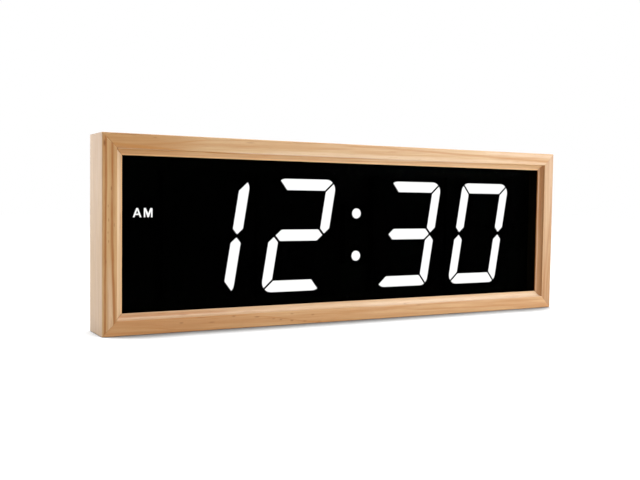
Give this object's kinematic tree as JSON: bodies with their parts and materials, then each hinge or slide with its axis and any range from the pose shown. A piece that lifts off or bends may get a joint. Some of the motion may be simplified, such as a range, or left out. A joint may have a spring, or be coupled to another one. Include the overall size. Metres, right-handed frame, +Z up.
{
  "type": "digital wall clock",
  "caption": "Long digital wall clock: a mitred wooden frame round a dark lens, slanted seven-bar numerals behind it, and a rear cover with keyholes and a control bay.",
  "frame": {"origin": "middle of the base, below the middle of the frame's depth", "axes": "+X right along the base, +Y back to the wall, +Z up; the face looks along -Y"},
  "size_m": [0.478, 0.038, 0.162],
  "materials": {
    "wood": "satin lacquer",
    "smoked_acrylic": "gloss",
    "tape": "matte",
    "black_abs": "matte",
    "lit_diffuser": "matte",
    "dark_diffuser": "matte",
    "circuit_board": "satin",
    "diode": "gloss",
    "screw_steel": "satin",
    "black_oxide_steel": "satin",
    "cover_screw_steel": "satin",
    "infrared_window": "gloss",
    "chip_epoxy": "matte",
    "crystal_can": "satin",
    "inlet_plastic": "satin",
    "capacitor_sleeve": "satin",
    "nickel": "satin",
    "spring_brass": "satin",
    "cover_abs": "fine texture",
    "button_plastic": "satin",
    "plunger_plastic": "matte"
  },
  "bodies": {
    "clock": {"frame_rail_top": "wood", "frame_rail_bottom": "wood", "frame_stile_left": "wood", "frame_stile_right": "wood", "front_lens": "smoked_acrylic", "lens_tape": "tape", "hour_tens_housing": "black_abs", "hour_units_housing": "black_abs", "minute_tens_housing": "black_abs", "minute_units_housing": "black_abs", "colon_housing": "black_abs", "am_pm_housing": "black_abs", "hour_tens_lit_bars": "lit_diffuser", "hour_units_lit_bars": "lit_diffuser", "minute_tens_lit_bars": "lit_diffuser", "minute_units_lit_bars": "lit_diffuser", "colon_dots": "lit_diffuser", "am_letters": "lit_diffuser", "hour_tens_dark_bars": "dark_diffuser", "hour_units_dark_bars": "dark_diffuser", "minute_tens_dark_bars": "dark_diffuser", "minute_units_dark_bars": "dark_diffuser", "pm_letters": "dark_diffuser", "display_board": "circuit_board", "bar_leds": "diode", "housing_screws": "screw_steel", "corner_keys": "screw_steel", "door_hinge_pin": "screw_steel", "board_screws": "black_oxide_steel", "cover_screws": "cover_screw_steel", "ir_receiver": "infrared_window", "controller_chip": "chip_epoxy", "driver_chips": "chip_epoxy", "clock_crystal": "crystal_can", "dc_power_jack": "inlet_plastic", "alarm_buzzer": "inlet_plastic", "coin_cell_holder": "inlet_plastic", "switch_bodies": "inlet_plastic", "filter_capacitor": "capacitor_sleeve", "dc_jack_pin": "nickel", "coin_cell": "nickel", "coin_cell_clip": "spring_brass", "rear_cover": "cover_abs"},
    "set_key": {"set_button": "button_plastic", "set_plunger": "plunger_plastic"},
    "up_key": {"up_button": "button_plastic", "up_plunger": "plunger_plastic"},
    "down_key": {"down_button": "button_plastic", "down_plunger": "plunger_plastic"},
    "door": {"battery_door": "cover_abs"}
  },
  "joints": [
    {"name": "set_press", "type": "slide", "parent": "clock", "child": "set_key", "axis": [0, -1, 0], "range_m": [0, 0.0005], "stiffness_N_per_m": 800},
    {"name": "up_press", "type": "slide", "parent": "clock", "child": "up_key", "axis": [0, -1, 0], "range_m": [0, 0.0005], "stiffness_N_per_m": 800},
    {"name": "down_press", "type": "slide", "parent": "clock", "child": "down_key", "axis": [0, -1, 0], "range_m": [0, 0.0005], "stiffness_N_per_m": 800},
    {"name": "door_hinge", "type": "hinge", "parent": "clock", "child": "door", "pos_m": [-0.0461, 0.0102, 0.0919], "axis": [1, 0, 0], "range_deg": [0, 100]}
  ]
}
